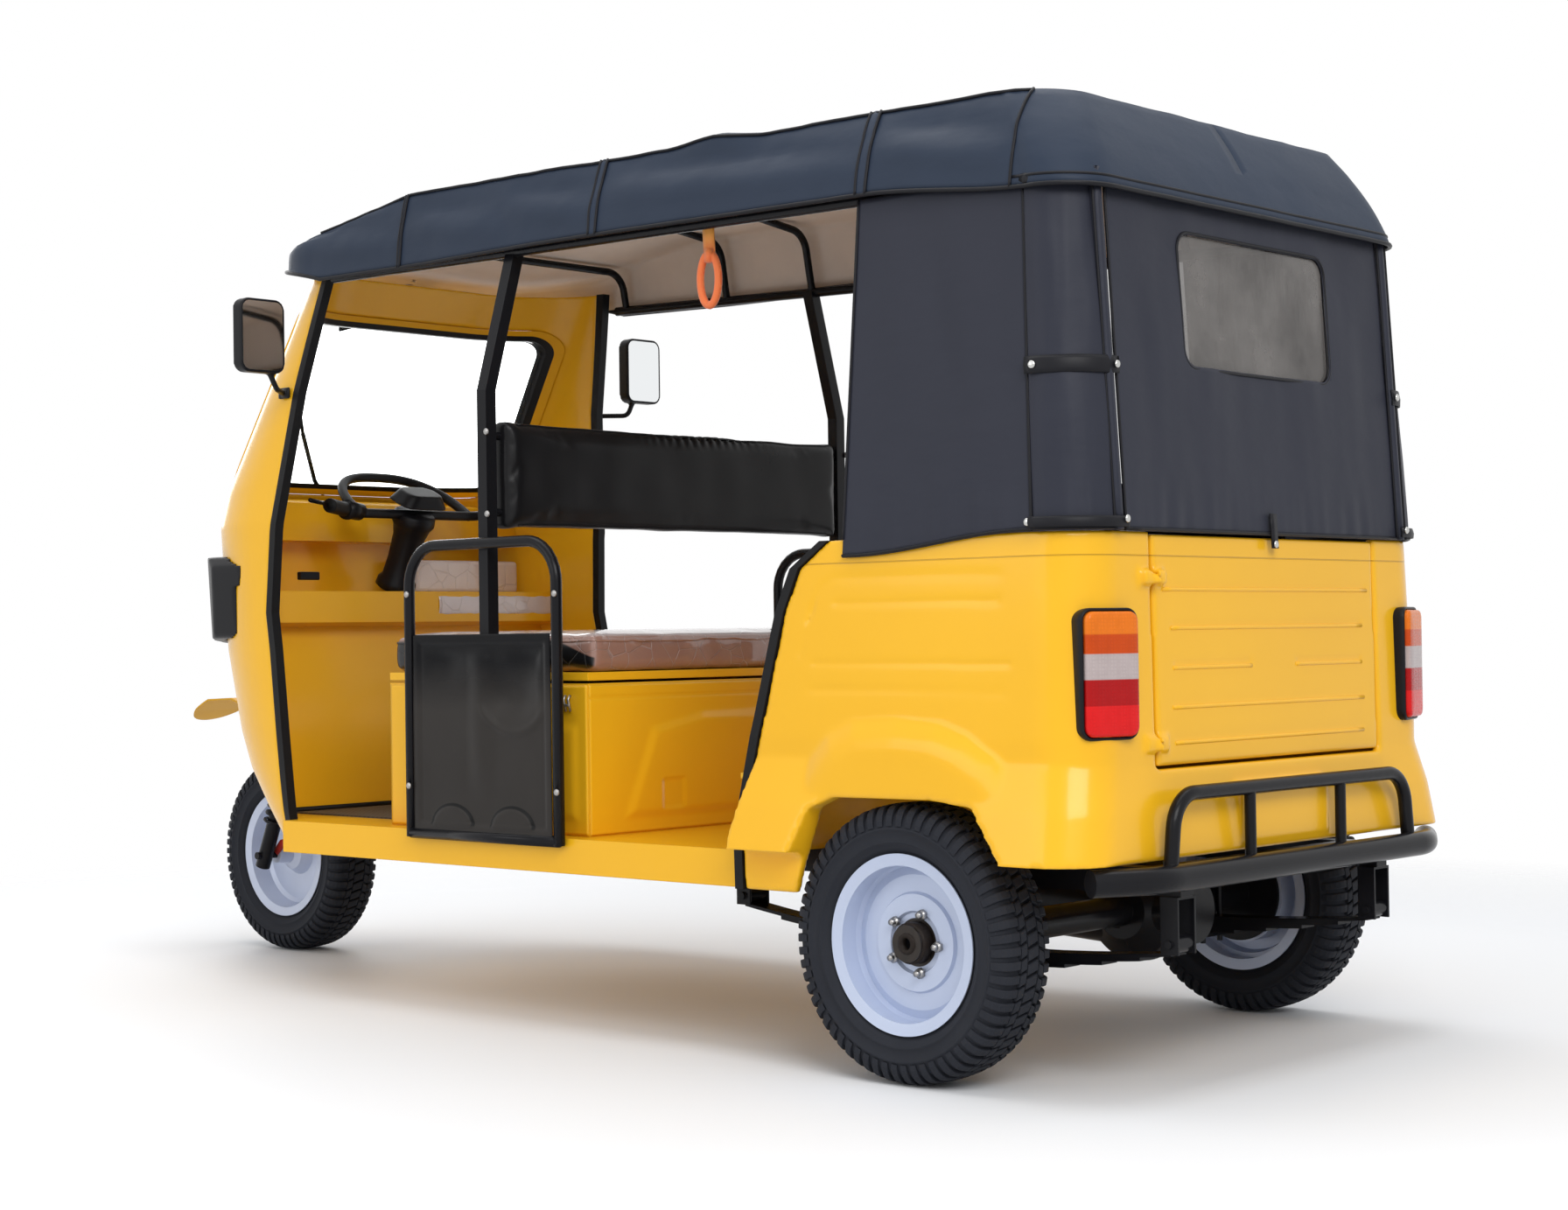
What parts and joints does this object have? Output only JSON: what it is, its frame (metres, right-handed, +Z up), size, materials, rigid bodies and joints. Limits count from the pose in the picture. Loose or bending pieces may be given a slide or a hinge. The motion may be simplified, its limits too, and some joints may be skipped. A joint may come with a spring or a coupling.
{
  "type": "auto rickshaw",
  "caption": "Long three-wheeled auto rickshaw with open sides, a canvas roof and rear cabin, a steered front wheel, a tailgate and a lifting middle seat.",
  "frame": {"origin": "on the ground under the middle of the whole length, on the vehicle's centre plane", "axes": "+Z up, -Y forwards out of the nose, +X the vehicle's left side"},
  "size_m": [1.41, 3.639, 1.9115],
  "materials": {
    "body_yellow": "gloss enamel",
    "frame_black": "satin black paint",
    "trim_rubber": "matt rubber",
    "moulded_black": "moulded black plastic",
    "clear_glass": "clear",
    "lamp_red": "banded red, clear and amber lens",
    "canopy_canvas": "coated black canvas",
    "seat_leather": "artificial leather",
    "mirror_silver": "mirror glass",
    "wheel_silver": "silver paint",
    "tyre_rubber": "black rubber",
    "battery_case": "black cases"
  },
  "bodies": {
    "chassis": {"chassis_frame": "frame_black", "floor_deck": "body_yellow", "floor_mat": "trim_rubber", "front_cowl": "body_yellow", "windscreen_seal": "trim_rubber", "windscreen_glass": "clear_glass", "cowl_edge_trim": "trim_rubber", "dash_panel": "body_yellow", "headlamp_housings": "moulded_black", "headlamp_lenses": "clear_glass", "rear_body": "body_yellow", "tub_edge_trim": "trim_rubber", "tub_floor": "body_yellow", "tail_lamp_housings": "moulded_black", "tail_lamp_lenses": "lamp_red", "rear_bumper": "frame_black", "canopy_roof": "canopy_canvas", "canopy_quarters": "canopy_canvas", "canopy_rear": "canopy_canvas", "rear_window": "clear_glass", "canopy_frame": "frame_black", "seat_box": "body_yellow", "battery_block": "battery_case", "middle_backrest": "seat_leather", "side_guards": "frame_black", "bench_box": "body_yellow", "bench_cushion": "seat_leather", "bench_backrest": "seat_leather", "mirror_housings": "moulded_black", "mirror_glasses": "mirror_silver", "rear_axle": "frame_black", "leaf_springs": "frame_black", "backrest_lugs": "frame_black"},
    "steering": {"steering_fork": "frame_black", "handlebar": "moulded_black", "display_pod": "moulded_black", "front_mudguard": "body_yellow"},
    "front_wheel": {"tyre_front": "tyre_rubber", "rim_front": "wheel_silver"},
    "rear_wheel_left": {"tyre_rear_left": "tyre_rubber", "rim_rear_left": "wheel_silver"},
    "rear_wheel_right": {"tyre_rear_right": "tyre_rubber", "rim_rear_right": "wheel_silver"},
    "tailgate": {"tailgate": "body_yellow"},
    "seat": {"seat_lid": "body_yellow", "seat_cushion": "seat_leather"}
  },
  "joints": [
    {"name": "steering_turn", "type": "hinge", "parent": "chassis", "child": "steering", "pos_m": [0, -1.1113, 0.6375], "axis": [0, 0.4131, 0.9107], "range_deg": [-40, 40]},
    {"name": "front_wheel_roll", "type": "hinge", "parent": "steering", "child": "front_wheel", "pos_m": [0, -1.3785, 0.265], "axis": [1, 0, 0], "continuous": true},
    {"name": "rear_wheel_left_roll", "type": "hinge", "parent": "chassis", "child": "rear_wheel_left", "pos_m": [0.583, 1.3145, 0.265], "axis": [1, 0, 0], "continuous": true},
    {"name": "rear_wheel_right_roll", "type": "hinge", "parent": "chassis", "child": "rear_wheel_right", "pos_m": [-0.583, 1.3145, 0.265], "axis": [1, 0, 0], "continuous": true},
    {"name": "tailgate_swing", "type": "hinge", "parent": "chassis", "child": "tailgate", "pos_m": [0.411, 1.7485, 0.8], "axis": [0, 0, -1], "range_deg": [0, 100]},
    {"name": "seat_lift", "type": "hinge", "parent": "chassis", "child": "seat", "pos_m": [0, -0.3035, 0.753], "axis": [1, 0, 0], "range_deg": [0, 22]}
  ]
}
